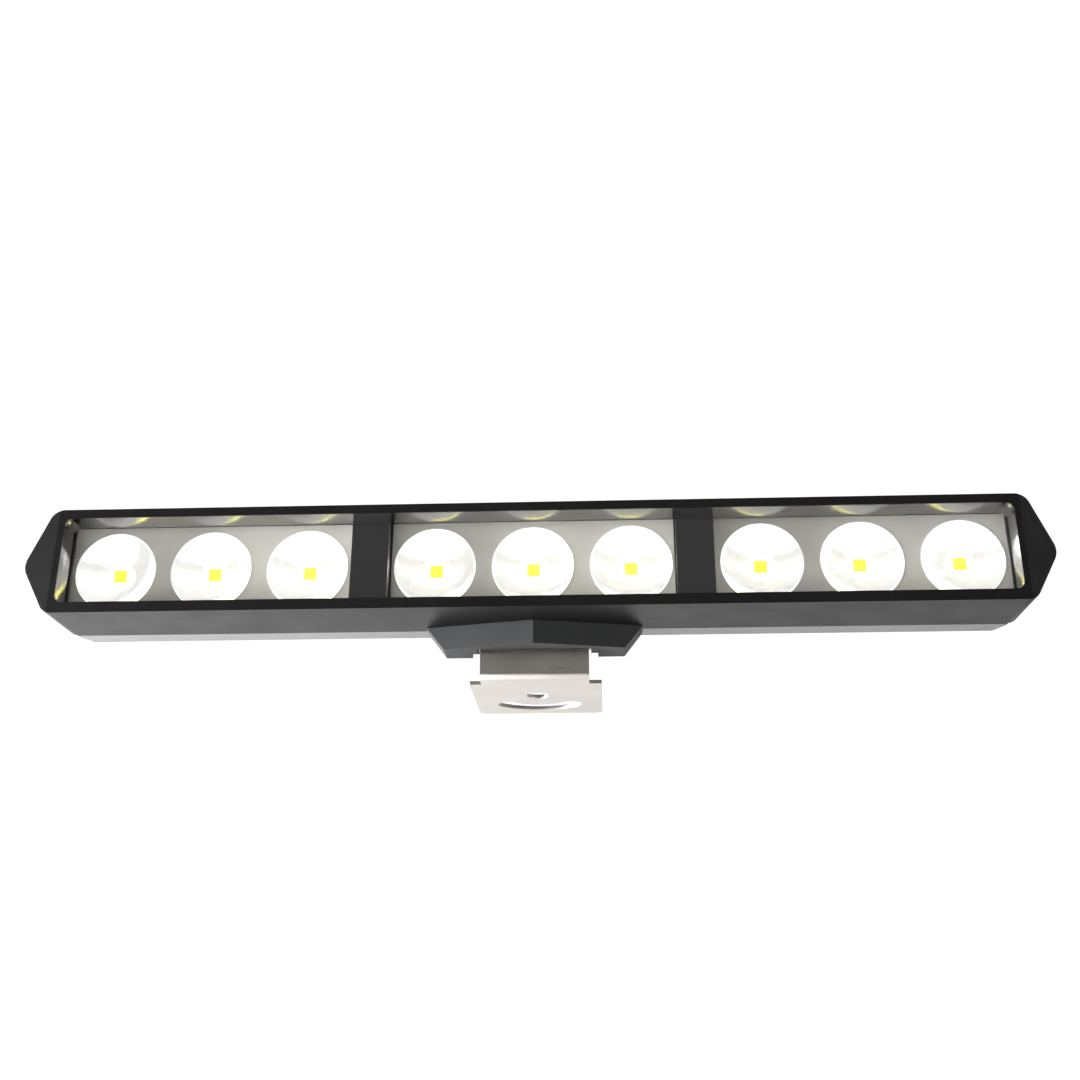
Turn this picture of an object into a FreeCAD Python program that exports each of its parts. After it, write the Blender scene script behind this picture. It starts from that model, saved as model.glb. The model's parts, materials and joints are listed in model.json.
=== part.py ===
import FreeCAD, Part
import math
import os
import re
import Sketcher

# Truck light bar: nine LEDs in three windows, on a tilting bracket of bent sheet.
# Millimetres. The origin is the centre of the bracket's pivot hole on the underside of its
# foot plate. +X runs along the bar, the lamp faces -Y, +Z is up. Lamp parts are drawn about
# the middle of the front face (depth along +Y) and moved into place by lamp_y and lamp_z.

DIMS = {
    # Front housing: extruded box with three windows.
    "lamp_y": -31.9, "lamp_z": 24.8,
    "body_length": 220.0, "body_height": 25.2, "body_depth": 17.3,
    "window_length": 217.4, "window_height": 20.6, "window_rise": 0.2, "window_corner": 1.8,
    "rib_centre": 37.3, "rib_half": 4.3, "rib_setback": 3.0, "front_wall": 6.4,
    "cavity_half": 108.9, "cavity_height": 22.2, "bulkhead_half": 4.1,
    "wire_notch": 4.0, "wire_notch_depth": 3.0,
    # Pointed end caps.
    "cap_top": 111.3, "cap_tip": 117.0, "cap_base": 110.9, "cap_tip_drop": 1.5,
    "cap_corner": 3.5, "cap_base_corner": 3.0, "cap_tip_corner": 4.5,
    "cap_peg_radius": 1.2, "cap_peg_z": 6.5, "cap_peg_y": 9.0,
    # Windows, reflectors, boards and LEDs.
    "group_pitch": 75.6, "led_pitch": 22.8,
    "seal_thick": 0.4, "pane_thick": 1.2, "pane_length": 66.2, "side_pane_length": 67.3,
    "side_pane_x": 75.15, "pane_height": 22.0, "seal_margin": 0.8, "seal_height": 20.6,
    "reflector_y": 8.2, "reflector_depth": 3.4, "reflector_skin": 0.6,
    "rim_radius": 9.35, "throat_radius": 3.4,
    "board_y": 12.2, "board_thick": 1.6, "board_length": 64.0, "board_height": 19.0,
    "led_size": 3.5, "led_thick": 0.7, "phosphor_size": 2.9, "phosphor_thick": 0.25,
    "screw_x": 11.4, "screw_z": 8.2,
    "pad_thick": 0.5,
    # Rear cover with lengthwise fins.
    "cover_y": 17.8, "cover_depth": 5.2, "cover_length": 219.0,
    "cover_bevel": 2.2, "cover_bevel_depth": 4.4,
    "fin_depth": 5.0, "fin_thick": 1.6, "fin_pitch": 3.8, "fin_length": 206.0,
    "flat_half": 11.0, "gland_x": -70.0, "vent_x": 24.0,
    "gasket_thick": 0.5, "gasket_length": 218.0, "gasket_height": 24.2,
    "notch_length": 12.0,
    "boss_height": 17.0, "bolt_z": 8.0, "bolt_radius": 1.5,
    "driver_x": 75.2, "driver_length": 32.0, "driver_height": 17.0, "driver_recess": 2.7,
    # Cable gland and vent.
    "gland_bore": 5.0, "gland_flange": 7.5, "gland_nut_radius": 7.0, "seal_bore": 2.6,
    "seal_radius": 4.0, "seal_length": 4.9,
    "vent_radius": 4.5, "vent_stem": 2.5,
    # Foot under the housing, with the pivot across it.
    "foot_top": 25.3, "foot_base": 21.0, "foot_apex_y": 9.7, "foot_end_y": 15.2,
    "foot_rear_y": 21.6, "foot_height": 5.6, "bay_half": 13.2, "bay_front_y": 14.2,
    "notch_half": 14.8, "notch_front_y": 18.4, "notch_height": 0.95,
    "pivot_y": 19.2, "pivot_drop": 2.9, "pivot_radius": 1.0, "stud_end": 18.0,
    "nut_radius": 2.15, "washer_radius": 1.7, "foot_screw_x": 19.0, "foot_screw_y": 15.0,
    # Bracket, one bent strip of stainless sheet.
    "sheet": 1.0, "strip_half": 12.7, "strip_y": -16.0, "bend_radius": 1.2,
    "plate_half": 15.55, "plate_rear": 17.6, "plate_corner": 2.0, "ear_y": -10.5,
    "pivot_hole": 2.6, "slot_radius": 11.4, "slot_half": 2.6, "slot_angle": 42.0,
    "tab_radius": 1.7, "tab_rise": 0.5, "tab_y": -12.7, "tab_z": 9.3,
}

doc = FreeCAD.newDocument("light_bar")
sheet = doc.addObject("Spreadsheet::Sheet", "Dims")
for row, (alias, size) in enumerate(DIMS.items(), start=1):
    sheet.set("A%d" % row, alias)
    sheet.set("B%d" % row, repr(size))
    sheet.setAlias("B%d" % row, alias)
doc.recompute()

ALONG_X = FreeCAD.Rotation(FreeCAD.Vector(0, 1, 0), 90)
ALONG_Y = FreeCAD.Rotation(FreeCAD.Vector(1, 0, 0), -90)
ALONG_Z = FreeCAD.Rotation()
PARTS = []


def number(formula):
    """Value of a sum of products of dimension names and plain numbers."""
    total = 0.0
    for term in str(formula).replace("- ", "-").replace("+ ", "").split():
        product = -1.0 if term.startswith("-") else 1.0
        for factor in term.lstrip("-").split("*"):
            top, *bottoms = factor.split("/")
            product *= DIMS[top] if top in DIMS else float(top)
            for bottom in bottoms:
                product /= DIMS[bottom] if bottom in DIMS else float(bottom)
        total += product
    return total


def bind(obj, prop, formula):
    """Drive one property from the dimension sheet."""
    obj.setExpression(prop, re.sub(r"[a-z][a-z_]+", r"Dims.\g<0>", str(formula)))


def finish(obj, label, on_lamp=True):
    """Name a finished part and set it where the lamp sits on the bracket."""
    obj.Label = label
    if on_lamp:
        bind(obj, "Placement.Base.y", "lamp_y")
        bind(obj, "Placement.Base.z", "lamp_z")
    PARTS.append(obj)
    return obj


def box(name, x, y, z, length, depth, height):
    """Box centred on x and z that starts at depth y."""
    obj = doc.addObject("Part::Box", name)
    for prop, formula in (("Length", length), ("Width", depth), ("Height", height)):
        bind(obj, prop, formula)
    bind(obj, "Placement.Base.x", "%s %s" % (x, minus_half(length)))
    bind(obj, "Placement.Base.y", y)
    bind(obj, "Placement.Base.z", "%s %s" % (z, minus_half(height)))
    return obj


def half(formula):
    """Half of every term of a formula."""
    return " ".join(word if word in "+-" else word + "/2" for word in formula.split())


def minus_half(formula):
    """Minus half of every term of a formula."""
    swapped = {"+": "-", "-": "+"}
    return "- " + " ".join(swapped.get(word, word) for word in half(formula).split())


def rod(name, radius, length, x, y, z, turn):
    """Cylinder from (x, y, z) along the turned axis."""
    obj = doc.addObject("Part::Cylinder", name)
    obj.Placement.Rotation = turn
    bind(obj, "Radius", radius)
    bind(obj, "Height", length)
    for axis, formula in (("x", x), ("y", y), ("z", z)):
        bind(obj, "Placement.Base." + axis, formula)
    return obj


def cone(name, start, end, length, x, y, z):
    """Cone frustum that runs along +Y."""
    obj = doc.addObject("Part::Cone", name)
    obj.Placement.Rotation = ALONG_Y
    for prop, formula in (("Radius1", start), ("Radius2", end), ("Height", length)):
        bind(obj, prop, formula)
    for axis, formula in (("x", x), ("y", y), ("z", z)):
        bind(obj, "Placement.Base." + axis, formula)
    return obj


def hexagon(name, radius, length, x, y, z, turn):
    """Hexagonal prism from (x, y, z) along the turned axis."""
    obj = doc.addObject("Part::Prism", name)
    obj.Placement.Rotation = turn
    obj.Polygon = 6
    bind(obj, "Circumradius", radius)
    bind(obj, "Height", length)
    for axis, formula in (("x", x), ("y", y), ("z", z)):
        bind(obj, "Placement.Base." + axis, formula)
    return obj


def fuse(name, shapes):
    obj = doc.addObject("Part::MultiFuse", name)
    obj.Shapes = shapes
    return obj


def cut(name, base, tool):
    obj = doc.addObject("Part::Cut", name)
    obj.Base = base
    obj.Tool = tool
    return obj


def group(name, members):
    obj = doc.addObject("Part::Compound", name)
    obj.Links = members
    return obj


def new_body(name):
    return doc.addObject("PartDesign::Body", name)


def new_sketch(body, name, plane, offset="0"):
    """Sketch on one of the body's own planes, moved along the plane's normal."""
    sketch = body.newObject("Sketcher::SketchObject", name)
    for feature in body.Origin.OriginFeatures:
        if feature.Role == plane:
            sketch.AttachmentSupport = (feature, [""])
    sketch.MapMode = "FlatFace"
    bind(sketch, "AttachmentOffset.Base.z", offset)
    return sketch


def pin_point(sketch, index, corner, point):
    """Hold one sketch point at two sheet-driven distances from the origin."""
    for kind, axis, formula in (("DistanceX", -2, point[0]), ("DistanceY", -1, point[1])):
        if abs(number(formula)) < 1e-9:
            sketch.addConstraint(Sketcher.Constraint("PointOnObject", index, corner, axis))
            continue
        made = sketch.addConstraint(
            Sketcher.Constraint(kind, -1, 1, index, corner, number(formula)))
        bind(sketch, "Constraints[%d]" % made, formula)


def polygon(sketch, points):
    """Closed outline through the points, each pair being (across, up)."""
    spots = [FreeCAD.Vector(number(across), number(up), 0) for across, up in points]
    first = sketch.GeometryCount
    for index, spot in enumerate(spots):
        following = spots[(index + 1) % len(spots)]
        sketch.addGeometry(Part.LineSegment(spot, following), False)
    for index in range(len(spots)):
        following = first + (index + 1) % len(spots)
        sketch.addConstraint(Sketcher.Constraint("Coincident", first + index, 2, following, 1))
    for index, point in enumerate(points):
        pin_point(sketch, first + index, 1, point)


def rectangle(sketch, left, right, low, high):
    polygon(sketch, [(left, low), (right, low), (right, high), (left, high)])


def circle(sketch, across, up, radius):
    centre = FreeCAD.Vector(number(across), number(up), 0)
    index = sketch.addGeometry(
        Part.Circle(centre, FreeCAD.Vector(0, 0, 1), number(radius)), False)
    pin_point(sketch, index, 3, (across, up))
    made = sketch.addConstraint(Sketcher.Constraint("Radius", index, number(radius)))
    bind(sketch, "Constraints[%d]" % made, radius)


def feature(body, kind, name, sketch, length, flip=False, both=False):
    """Pad or Pocket of a sketch."""
    obj = body.newObject("PartDesign::" + kind, name)
    obj.Profile = sketch
    obj.Reversed = flip
    if both:
        obj.SideType = "Symmetric"
    bind(obj, "Length", length)
    sketch.Visibility = False
    doc.recompute()
    return obj


def edges(shape, keep):
    """Names of the shape's edges whose midpoint and direction pass a test."""
    names = []
    for index, edge in enumerate(shape.Edges, start=1):
        ends = [vertex.Point for vertex in edge.Vertexes]
        if len(ends) == 2 and keep(edge.CenterOfMass, (ends[1] - ends[0]).normalize()):
            names.append("Edge%d" % index)
    return names


def dress(body, kind, name, base, keep, size_prop, size):
    """Fillet or Chamfer of chosen edges."""
    obj = body.newObject("PartDesign::" + kind, name)
    obj.Base = (base, edges(base.Shape, keep))
    bind(obj, size_prop, size)
    doc.recompute()
    return obj


# ---------------------------------------------------------------- pointed outline
def pointed_block(body, name):
    """Full-length six-sided block with rounded corners, which housing and caps are cut from."""
    outline = new_sketch(body, name + "_outline", "XZ_Plane")
    polygon(outline, [
        ("-cap_top", "body_height/2"), ("cap_top", "body_height/2"),
        ("cap_tip", "-cap_tip_drop"), ("cap_base", "-body_height/2"),
        ("-cap_base", "-body_height/2"), ("-cap_tip", "-cap_tip_drop")])
    solid = feature(body, "Pad", name + "_block", outline, "body_depth", flip=True)
    half_height = DIMS["body_height"] / 2
    for tag, corner_x, corner_z, radius in (
            ("top", "cap_top", half_height, "cap_corner"),
            ("base", "cap_base", -half_height, "cap_base_corner"),
            ("tip", "cap_tip", -DIMS["cap_tip_drop"], "cap_tip_corner")):
        reach = DIMS[corner_x]
        solid = dress(body, "Fillet", "%s_%s" % (name, tag), solid,
                      lambda mid, way: abs(way.y) > 0.9 and abs(abs(mid.x) - reach) < 0.01
                      and abs(mid.z - corner_z) < 0.01, "Radius", radius)
    return solid


# ---------------------------------------------------------------- front housing
housing = new_body("front_housing")
pointed_block(housing, "housing")
ends = new_sketch(housing, "housing_end_outlines", "XZ_Plane")
rectangle(ends, "-cap_tip - 1", "-body_length/2", "-body_height", "body_height")
rectangle(ends, "body_length/2", "cap_tip + 1", "-body_height", "body_height")
feature(housing, "Pocket", "housing_ends", ends, "body_depth")

LOW = "window_rise - window_height/2"
HIGH = "window_rise + window_height/2"
windows = new_sketch(housing, "window_outlines", "XZ_Plane")
rectangle(windows, "-window_length/2", "-rib_centre - rib_half", LOW, HIGH)
rectangle(windows, "-rib_centre + rib_half", "rib_centre - rib_half", LOW, HIGH)
rectangle(windows, "rib_centre + rib_half", "window_length/2", LOW, HIGH)
through = feature(housing, "Pocket", "windows", windows, "front_wall")
half_window = DIMS["window_length"] / 2
dress(housing, "Fillet", "window_corners", through,
      lambda mid, way: abs(way.y) > 0.9 and abs(abs(mid.x) - half_window) < 0.01,
      "Radius", "window_corner")

ribs = new_sketch(housing, "rib_front_outlines", "XZ_Plane")
rectangle(ribs, "-rib_centre - rib_half", "-rib_centre + rib_half", LOW, HIGH)
rectangle(ribs, "rib_centre - rib_half", "rib_centre + rib_half", LOW, HIGH)
feature(housing, "Pocket", "rib_setbacks", ribs, "rib_setback")

cavities = new_sketch(housing, "cavity_outlines", "XZ_Plane", "-body_depth")
rectangle(cavities, "-cavity_half", "-rib_centre - bulkhead_half",
          "-cavity_height/2", "cavity_height/2")
rectangle(cavities, "-rib_centre + bulkhead_half", "rib_centre - bulkhead_half",
          "-cavity_height/2", "cavity_height/2")
rectangle(cavities, "rib_centre + bulkhead_half", "cavity_half",
          "-cavity_height/2", "cavity_height/2")
hollow = feature(housing, "Pocket", "cavities", cavities, "body_depth - front_wall", flip=True)

notches = new_sketch(housing, "wire_notch_outlines", "XZ_Plane", "-body_depth")
for side in ("-", ""):
    near, far = ("-rib_centre - bulkhead_half", "-rib_centre + bulkhead_half") if side else (
        "rib_centre - bulkhead_half", "rib_centre + bulkhead_half")
    rectangle(notches, near, far, "-wire_notch/2", "wire_notch/2")
feature(housing, "Pocket", "wire_notches", notches, "wire_notch_depth", flip=True)

bolt_holes = new_sketch(housing, "bolt_hole_outlines", "XZ_Plane", "-body_depth")
for across in ("-rib_centre", "rib_centre"):
    for up in ("-bolt_z", "bolt_z"):
        circle(bolt_holes, across, up, "bolt_radius")
feature(housing, "Pocket", "bolt_holes", bolt_holes, "8", flip=True)

for sign, name in (("-", "peg_holes_left"), ("", "peg_holes_right")):
    peg_holes = new_sketch(housing, name + "_outline", "YZ_Plane", sign + "body_length/2")
    for up in ("-cap_peg_z", "cap_peg_z"):
        circle(peg_holes, "cap_peg_y", up, "cap_peg_radius")
    feature(housing, "Pocket", name, peg_holes, "body_length/2 - cavity_half", flip=bool(sign))

fixings = new_sketch(housing, "foot_screw_holes", "XY_Plane", "-body_height/2")
for across in ("-foot_screw_x", "foot_screw_x"):
    circle(fixings, across, "foot_screw_y", "1")
feature(housing, "Pocket", "foot_screw_bores", fixings, "2", flip=True)
finish(housing, "front_housing")

# ---------------------------------------------------------------- end caps
for sign, label in (("-", "end_cap_left"), ("", "end_cap_right")):
    cap = new_body(label)
    pointed_block(cap, label)
    rest = new_sketch(cap, label + "_rest_outline", "XZ_Plane")
    far = "cap_tip + 1" if sign else "-cap_tip - 1"
    rectangle(rest, sign + "body_length/2", far, "-body_height", "body_height")
    feature(cap, "Pocket", label + "_rest", rest, "body_depth")
    pegs = new_sketch(cap, label + "_peg_outlines", "YZ_Plane", sign + "body_length/2")
    for up in ("-cap_peg_z", "cap_peg_z"):
        circle(pegs, "cap_peg_y", up, "cap_peg_radius")
    feature(cap, "Pad", label + "_pegs", pegs, "body_length/2 - cavity_half", flip=not sign)
    finish(cap, label)

# ---------------------------------------------------------------- the three light groups
PANE_Y = "front_wall + seal_thick"
GROUPS = (("left", "-group_pitch", "-side_pane_x", "side_pane_length"),
          ("centre", "0", "0", "pane_length"),
          ("right", "group_pitch", "side_pane_x", "side_pane_length"))
for group_index, (side, centre, pane_x, pane_length) in enumerate(GROUPS):
    seal = cut("lens_seal_%s_cut" % side,
               box("lens_seal_%s_outer" % side, pane_x, "front_wall", "0",
                   pane_length, "seal_thick", "pane_height"),
               box("lens_seal_%s_inner" % side, pane_x, "front_wall", "window_rise",
                   pane_length + " - seal_margin", "seal_thick", "seal_height"))
    finish(seal, "lens_gasket_" + side)

    pane = box("lens_" + side, pane_x, "lamp_y + " + PANE_Y, "lamp_z",
               pane_length, "pane_thick", "pane_height")
    pane.Label = "lens_" + side
    PARTS.append(pane)

    solids = [box("reflector_%s_panel" % side, pane_x, "reflector_y", "0",
                  pane_length, "reflector_skin", "pane_height")]
    holes = []
    for led in (-1, 0, 1):
        spot = "%s + %d*led_pitch" % (centre, led)
        tag = "%s_%d" % (side, led + 2)
        solids.append(cone("cup_" + tag, "rim_radius + reflector_skin",
                           "throat_radius + reflector_skin", "reflector_depth",
                           spot, "reflector_y", "0"))
        holes.append(cone("bowl_" + tag, "rim_radius", "throat_radius",
                          "reflector_depth", spot, "reflector_y", "0"))
    reflector = cut("reflector_%s_cut" % side, fuse("reflector_%s_solid" % side, solids),
                    fuse("reflector_%s_bowls" % side, holes))
    finish(reflector, "reflector_" + side)

    plate = box("board_%s_plate" % side, centre, "board_y", "0",
                "board_length", "board_thick", "board_height")
    drills = [rod("board_%s_hole_%d" % (side, index), "1.25", "board_thick",
                  "%s + %d*screw_x" % (centre, index), "board_y", up, ALONG_Y)
              for index, up in ((-1, "screw_z"), (1, "-screw_z"))]
    finish(cut("board_%s_cut" % side, plate, fuse("board_%s_holes" % side, drills)),
           "led_board_" + side)

    for led in (-1, 0, 1):
        spot = "%s + %d*led_pitch" % (centre, led)
        name = str(3 * group_index + led + 2)
        chip = box("led_package_" + name, spot, "lamp_y + board_y - led_thick", "lamp_z",
                   "led_size", "led_thick", "led_size")
        chip.Label = "led_package_" + name
        PARTS.append(chip)
        glow = box("led_phosphor_" + name, spot,
                   "lamp_y + board_y - led_thick - phosphor_thick", "lamp_z",
                   "phosphor_size", "phosphor_thick", "phosphor_size")
        glow.Label = "led_phosphor_" + name
        PARTS.append(glow)

# ---------------------------------------------------------------- rear cover
PLATE_REAR = "cover_y + cover_depth"
BOSSES = {"left_outer": (-95.0, 20.0), "left_inner": (-49.5, 11.0), "centre": (-8.5, 45.0),
          "right_inner": (49.5, 11.0), "right_outer": (100.4, 11.0)}
cover = new_body("rear_cover")
outline = new_sketch(cover, "cover_outline", "XY_Plane", "-body_height/2")
polygon(outline, [
    ("-cover_length/2", "cover_y"), ("cover_length/2", "cover_y"),
    ("cover_length/2", "cover_y + cover_depth - cover_bevel_depth"),
    ("cover_length/2 - cover_bevel", "cover_y + cover_depth"),
    ("-cover_length/2 + cover_bevel", "cover_y + cover_depth"),
    ("-cover_length/2", "cover_y + cover_depth - cover_bevel_depth")])
feature(cover, "Pad", "cover_slab", outline, "body_height")

for name, (middle, width) in BOSSES.items():
    boss = new_sketch(cover, "boss_%s_outline" % name, "XZ_Plane", "-cover_y")
    rectangle(boss, "%.2f" % (middle - width / 2), "%.2f" % (middle + width / 2),
              "-boss_height/2", "boss_height/2")
    feature(cover, "Pad", "boss_" + name, boss,
            "cover_y - board_y - board_thick - pad_thick")

fins = new_sketch(cover, "fin_outlines", "YZ_Plane", "-fin_length/2")
for index in range(-2, 3):
    rectangle(fins, PLATE_REAR, PLATE_REAR + " + fin_depth",
              "%d*fin_pitch - fin_thick/2" % index, "%d*fin_pitch + fin_thick/2" % index)
feature(cover, "Pad", "fins", fins, "fin_length")

flats = new_sketch(cover, "flat_outlines", "XZ_Plane", "-cover_y - cover_depth")
rectangle(flats, "gland_x - flat_half", "gland_x + flat_half",
          "-body_height/2", "body_height/2")
rectangle(flats, "vent_x - vent_radius - 2", "vent_x + vent_radius + 2",
          "-body_height/2", "body_height/2")
rectangle(flats, "rib_centre - 4", "rib_centre + 4", "-body_height/2", "body_height/2")
rectangle(flats, "-rib_centre - 4", "-rib_centre + 4", "-body_height/2", "body_height/2")
feature(cover, "Pocket", "flats", flats, "fin_depth")

recess = new_sketch(cover, "driver_recess_outline", "XZ_Plane", "-cover_y")
rectangle(recess, "driver_x - driver_length/2", "driver_x + driver_length/2",
          "-driver_height/2", "driver_height/2")
feature(cover, "Pocket", "driver_pocket", recess, "driver_recess")

bores = new_sketch(cover, "cover_bore_outlines", "XZ_Plane", "-cover_y")
circle(bores, "gland_x", "0", "gland_bore")
circle(bores, "vent_x", "0", "vent_stem")
for across in ("-rib_centre", "rib_centre"):
    for up in ("-bolt_z", "bolt_z"):
        circle(bores, across, up, "bolt_radius")
feature(cover, "Pocket", "cover_bores", bores, "cover_depth")
finish(cover, "rear_cover")

gasket_solid = box("rear_gasket_solid", "0", "body_depth", "0",
                   "gasket_length", "gasket_thick", "gasket_height")
gasket_tools = [
    box("rear_gasket_left", "-group_pitch", "body_depth", "0", "pane_length",
        "gasket_thick", "cavity_height"),
    box("rear_gasket_centre", "0", "body_depth", "0", "pane_length",
        "gasket_thick", "cavity_height"),
    box("rear_gasket_right", "group_pitch", "body_depth", "0", "pane_length",
        "gasket_thick", "cavity_height")]
for across in ("-rib_centre", "rib_centre"):
    tag = "low" if across.startswith("-") else "high"
    gasket_tools.append(box("rear_gasket_slot_" + tag, across, "body_depth", "0",
                            "notch_length", "gasket_thick", "wire_notch"))
    for up in ("-bolt_z", "bolt_z"):
        gasket_tools.append(rod("rear_gasket_hole", "bolt_radius", "gasket_thick",
                                across, "body_depth", up, ALONG_Y))
finish(cut("rear_gasket_cut", gasket_solid, fuse("rear_gasket_tools", gasket_tools)),
       "rear_gasket")

for name, (middle, width) in BOSSES.items():
    pad = box("thermal_pad_" + name, "%.2f" % middle, "lamp_y + board_y + board_thick",
              "lamp_z", "%.2f" % width, "pad_thick", "boss_height")
    pad.Label = "thermal_pad_" + name
    PARTS.append(pad)


def screw(name, head, shank, length, x, y, z, turn, head_thick="1.6"):
    """Cap screw whose head starts at (x, y, z) and whose shank follows it."""
    step = turn.multVec(FreeCAD.Vector(0, 0, 1))
    spots = []
    for axis, formula, way in (("x", x, step.x), ("y", y, step.y), ("z", z, step.z)):
        sign = "+" if way > 0 else "-"
        spots.append(formula if abs(way) < 0.5 else "%s %s %s" % (formula, sign, head_thick))
    solid = fuse(name + "_solid", [
        rod(name + "_head", head, head_thick, x, y, z, turn),
        rod(name + "_shank", shank, length, spots[0], spots[1], spots[2], turn)])
    socket = hexagon(name + "_socket", head + "/2", half(head_thick), x, y, z, turn)
    return cut(name, solid, socket)


TOWARD_FRONT = FreeCAD.Rotation(FreeCAD.Vector(1, 0, 0), 90)
DOWN = FreeCAD.Rotation(FreeCAD.Vector(1, 0, 0), 180)

bolts = [screw("cover_screw_%d" % index, "2.6", "bolt_radius", "cover_depth + 7",
               across, PLATE_REAR + " + 1.6", up, TOWARD_FRONT)
         for index, (across, up) in enumerate((
             ("-rib_centre", "-bolt_z"), ("-rib_centre", "bolt_z"),
             ("rib_centre", "-bolt_z"), ("rib_centre", "bolt_z")), start=1)]
finish(group("cover_screw_set", bolts), "cover_screws")

# ---------------------------------------------------------------- driver electronics
DRIVER_FLOOR = "cover_y + driver_recess"
driver = box("driver_board", "driver_x", "lamp_y + %s - 1.2" % DRIVER_FLOOR, "lamp_z",
             "30", "1.2", "15")
driver.Label = "driver_board"
PARTS.append(driver)
coil = fuse("driver_inductor_solid", [
    box("coil_base", "driver_x - 8", DRIVER_FLOOR + " - 5.2", "0", "9", "4", "9"),
    rod("coil_core", "3.2", "0.6", "driver_x - 8", DRIVER_FLOOR + " - 5.8", "0", ALONG_Y)])
finish(coil, "driver_inductor")
cans = [rod("capacitor_%d" % index, "2.8", "4.6", "driver_x + 8", DRIVER_FLOOR + " - 5.8",
            up, ALONG_Y) for index, up in ((1, "-3.6"), (2, "3.6"))]
finish(group("capacitor_set", cans), "driver_capacitors")
chip = box("driver_chip", "driver_x + 1", "lamp_y + %s - 2.6" % DRIVER_FLOOR, "lamp_z",
           "4", "1.4", "5")
chip.Label = "driver_chip"
PARTS.append(chip)

# ---------------------------------------------------------------- cable gland and vent
gland = cut("gland_cut", fuse("gland_solid", [
    hexagon("gland_hex", "gland_flange", "4", "gland_x", PLATE_REAR, "0", ALONG_Y),
    rod("gland_stem", "gland_bore", "cover_depth + 1", "gland_x", "cover_y - 1", "0", ALONG_Y),
    rod("gland_throat", "5.6", "3.5", "gland_x", PLATE_REAR + " + 4", "0", ALONG_Y)]),
    rod("gland_hole", "seal_radius", "20", "gland_x", "cover_y - 2", "0", ALONG_Y))
finish(gland, "gland_body")
SEAL_Y = PLATE_REAR + " + 5.2"
seal = cut("gland_seal_cut",
           rod("gland_seal_outer", "seal_radius", "seal_length", "gland_x", SEAL_Y, "0",
               ALONG_Y),
           rod("gland_seal_bore", "seal_bore", "seal_length", "gland_x", SEAL_Y, "0", ALONG_Y))
finish(seal, "gland_seal")
nut = cut("gland_nut_cut", fuse("gland_nut_solid", [
    hexagon("gland_nut_hex", "gland_nut_radius", "5", "gland_x", PLATE_REAR + " + 4", "0",
            ALONG_Y),
    cone("gland_nut_dome", "5.9", "4.2", "2.5", "gland_x", PLATE_REAR + " + 9", "0")]),
    fuse("gland_nut_hollow", [
        rod("gland_nut_thread", "5.6", "3.5", "gland_x", PLATE_REAR + " + 4", "0", ALONG_Y),
        rod("gland_nut_seat", "seal_radius", "6.1", "gland_x", PLATE_REAR + " + 4", "0",
            ALONG_Y),
        rod("gland_nut_bore", "3.2", "8", "gland_x", PLATE_REAR + " + 4", "0", ALONG_Y)]))
finish(nut, "gland_nut")
vent = fuse("vent_solid", [
    rod("vent_cap", "vent_radius", "2.4", "vent_x", PLATE_REAR, "0", ALONG_Y),
    rod("vent_shank", "vent_stem", "cover_depth", "vent_x", "cover_y", "0", ALONG_Y)])
finish(vent, "vent_plug")

# ---------------------------------------------------------------- foot and pivot
FOOT_TOP = "-body_height/2"
foot = new_body("mounting_foot")
outline = new_sketch(foot, "foot_outline", "XY_Plane", FOOT_TOP)
polygon(outline, [("-foot_top", "foot_end_y"), ("0", "foot_apex_y"),
                  ("foot_top", "foot_end_y"), ("foot_top", "foot_rear_y"),
                  ("-foot_top", "foot_rear_y")])
feature(foot, "Pad", "foot_block", outline, "foot_height", flip=True)
slopes = new_sketch(foot, "foot_slope_outlines", "XZ_Plane")
for sign in ("-", ""):
    polygon(slopes, [(sign + "foot_top", FOOT_TOP),
                     (sign + "foot_top", FOOT_TOP + " - foot_height"),
                     (sign + "foot_base", FOOT_TOP + " - foot_height")])
feature(foot, "Pocket", "foot_slopes", slopes, "foot_rear_y")
bay = new_sketch(foot, "bay_outline", "XY_Plane", FOOT_TOP)
rectangle(bay, "-bay_half", "bay_half", "bay_front_y", "foot_rear_y")
feature(foot, "Pocket", "bracket_bay", bay, "foot_height")
notch = new_sketch(foot, "notch_outline", "XY_Plane", FOOT_TOP + " - foot_height")
rectangle(notch, "-notch_half", "notch_half", "notch_front_y", "foot_rear_y")
feature(foot, "Pocket", "rear_notch", notch, "notch_height", flip=True)
screw_holes = new_sketch(foot, "foot_thread_outlines", "XY_Plane", FOOT_TOP)
for across in ("-foot_screw_x", "foot_screw_x"):
    circle(screw_holes, across, "foot_screw_y", "1")
feature(foot, "Pocket", "foot_threads", screw_holes, "3.5")
pivot_bore = new_sketch(foot, "pivot_bore_outline", "YZ_Plane", "-stud_end")
circle(pivot_bore, "pivot_y", FOOT_TOP + " - pivot_drop", "pivot_radius")
feature(foot, "Pocket", "pivot_bore", pivot_bore, "2*stud_end", flip=True)
finish(foot, "mounting_foot")

small = [screw("foot_screw_%d" % index, "1.9", "1", "body_height/2 - cavity_height/2 + 3",
               across, "foot_screw_y", "-cavity_height/2 + 1.2", DOWN, "1.2")
         for index, across in ((1, "-foot_screw_x"), (2, "foot_screw_x"))]
finish(group("foot_screw_set", small), "foot_screws")

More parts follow.
